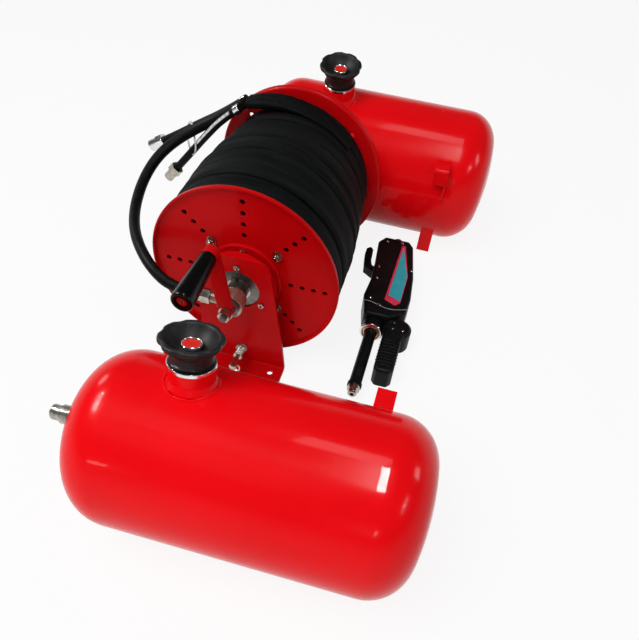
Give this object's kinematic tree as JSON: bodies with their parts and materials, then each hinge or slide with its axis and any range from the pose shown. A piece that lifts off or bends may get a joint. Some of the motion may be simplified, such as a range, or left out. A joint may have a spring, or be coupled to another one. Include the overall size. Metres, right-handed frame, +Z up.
{
  "type": "water extinguisher set with hose reel",
  "caption": "Hand-cranked reel of sleeved hose on a plate stand between lying pressure tanks with screw caps, with a spray gun, a water extinguisher set.",
  "frame": {"origin": "centre of the reel stand's four floor bolts, on the floor", "axes": "+Y along the reel's axis away from its crank, +Z up, +X along the tanks"},
  "size_m": [0.6955, 1.1128, 0.3545],
  "materials": {
    "tank_red": "high-gloss red powder coat",
    "reel_red": "gloss red powder coat",
    "cap_black": "moulded black plastic",
    "cap_red": "red plastic",
    "chrome": "polished chrome",
    "zinc": "bright zinc plating",
    "steel": "ground steel",
    "union_brass": "turned brass",
    "seal_rubber": "soft rubber",
    "grip_black": "moulded black plastic",
    "hose_rubber": "matte black rubber",
    "gun_black": "moulded black plastic",
    "panel_red": "red plastic",
    "panel_teal": "teal plastic",
    "hose_sleeve": "black woven sleeve"
  },
  "bodies": {
    "base": {"front_tank_shell": "tank_red", "rear_tank_shell": "tank_red", "front_filler_neck": "tank_red", "rear_filler_neck": "tank_red", "neck_rims": "chrome", "tank_hooks": "tank_red", "tank_feet": "tank_red", "outlet_nipples": "zinc", "dip_tubes": "zinc", "front_side_plate": "reel_red", "rear_side_plate": "reel_red", "base_strap": "reel_red", "bearing_housings": "reel_red", "bearing_outer_rings": "steel", "housing_screws": "zinc", "water_union": "union_brass", "supply_nut": "zinc", "supply_hose": "hose_rubber", "upper_tail": "hose_rubber", "lower_tail": "hose_rubber", "sleeve_end": "hose_sleeve", "sleeve_ferrules": "chrome", "hex_nut": "zinc", "lock_body": "zinc", "gun_body": "gun_black", "trigger_pin": "zinc", "gun_panel": "panel_red", "gun_inlay": "panel_teal", "gun_grip": "gun_black", "gun_collar": "gun_black", "gun_lance": "gun_black", "lance_tip": "zinc", "gun_inlet": "zinc"},
    "trigger": {"gun_trigger": "gun_black"},
    "drum": {"front_flange": "reel_red", "rear_flange": "reel_red", "flange_hubs": "reel_red", "drum_barrel": "reel_red", "tie_rods": "zinc", "tie_nuts": "zinc", "hub_screws": "zinc", "hose_pack": "hose_sleeve", "reel_shaft": "steel", "drum_outlet": "zinc", "bearing_inner_rings": "steel", "circlips": "zinc", "crank_arm": "reel_red", "crank_nut": "zinc", "grip_bolt": "zinc"},
    "grip": {"crank_grip": "grip_black"},
    "lock": {"lock_pin": "zinc"},
    "swivel": {"swivel_nut": "chrome"},
    "front_seal": {"front_cap_seal": "seal_rubber"},
    "front_screw_cap": {"front_cap": "cap_black", "front_cap_ring": "chrome", "front_cap_disc": "cap_red"},
    "rear_seal": {"rear_cap_seal": "seal_rubber"},
    "rear_screw_cap": {"rear_cap": "cap_black", "rear_cap_ring": "chrome", "rear_cap_disc": "cap_red"}
  },
  "joints": [
    {"name": "drum_spin", "type": "hinge", "parent": "base", "child": "drum", "pos_m": [0, 0, 0.175], "axis": [0, 1, 0], "continuous": true},
    {"name": "grip_spin", "type": "hinge", "parent": "drum", "child": "grip", "pos_m": [-0.01559, -0.32, 0.28591], "axis": [0, 1, 0], "continuous": true},
    {"name": "lock_slide", "type": "slide", "parent": "base", "child": "lock", "axis": [0, 1, 0], "range_m": [0, 0.006]},
    {"name": "trigger_pull", "type": "hinge", "parent": "base", "child": "trigger", "pos_m": [0.19992, 0.08545, 0.028], "axis": [0, 0, -1], "range_deg": [0, 12]},
    {"name": "swivel_spin", "type": "hinge", "parent": "base", "child": "swivel", "pos_m": [-0.278, 0.137, 0.201], "axis": [-0.8703, -0.0544, -0.4895], "continuous": true},
    {"name": "front_cap_lift", "type": "slide", "parent": "base", "child": "front_seal", "axis": [0, 0.2588, 0.9659], "range_m": [0, 0.017]},
    {"name": "front_cap_turn", "type": "hinge", "parent": "front_seal", "child": "front_screw_cap", "pos_m": [0.038, -0.503, 0.131], "axis": [0, 0.2588, 0.9659], "range_deg": [0, 720]},
    {"name": "rear_cap_lift", "type": "slide", "parent": "base", "child": "rear_seal", "axis": [0, -0.1564, 0.9877], "range_m": [0, 0.017]},
    {"name": "rear_cap_turn", "type": "hinge", "parent": "rear_seal", "child": "rear_screw_cap", "pos_m": [0.033, 0.35, 0.131], "axis": [0, -0.1564, 0.9877], "range_deg": [0, 720]}
  ],
  "couplings": [
    {"joint": "front_cap_lift", "follows": "front_cap_turn", "m_per_rad": 0.0012732},
    {"joint": "rear_cap_lift", "follows": "rear_cap_turn", "m_per_rad": 0.0012732}
  ]
}
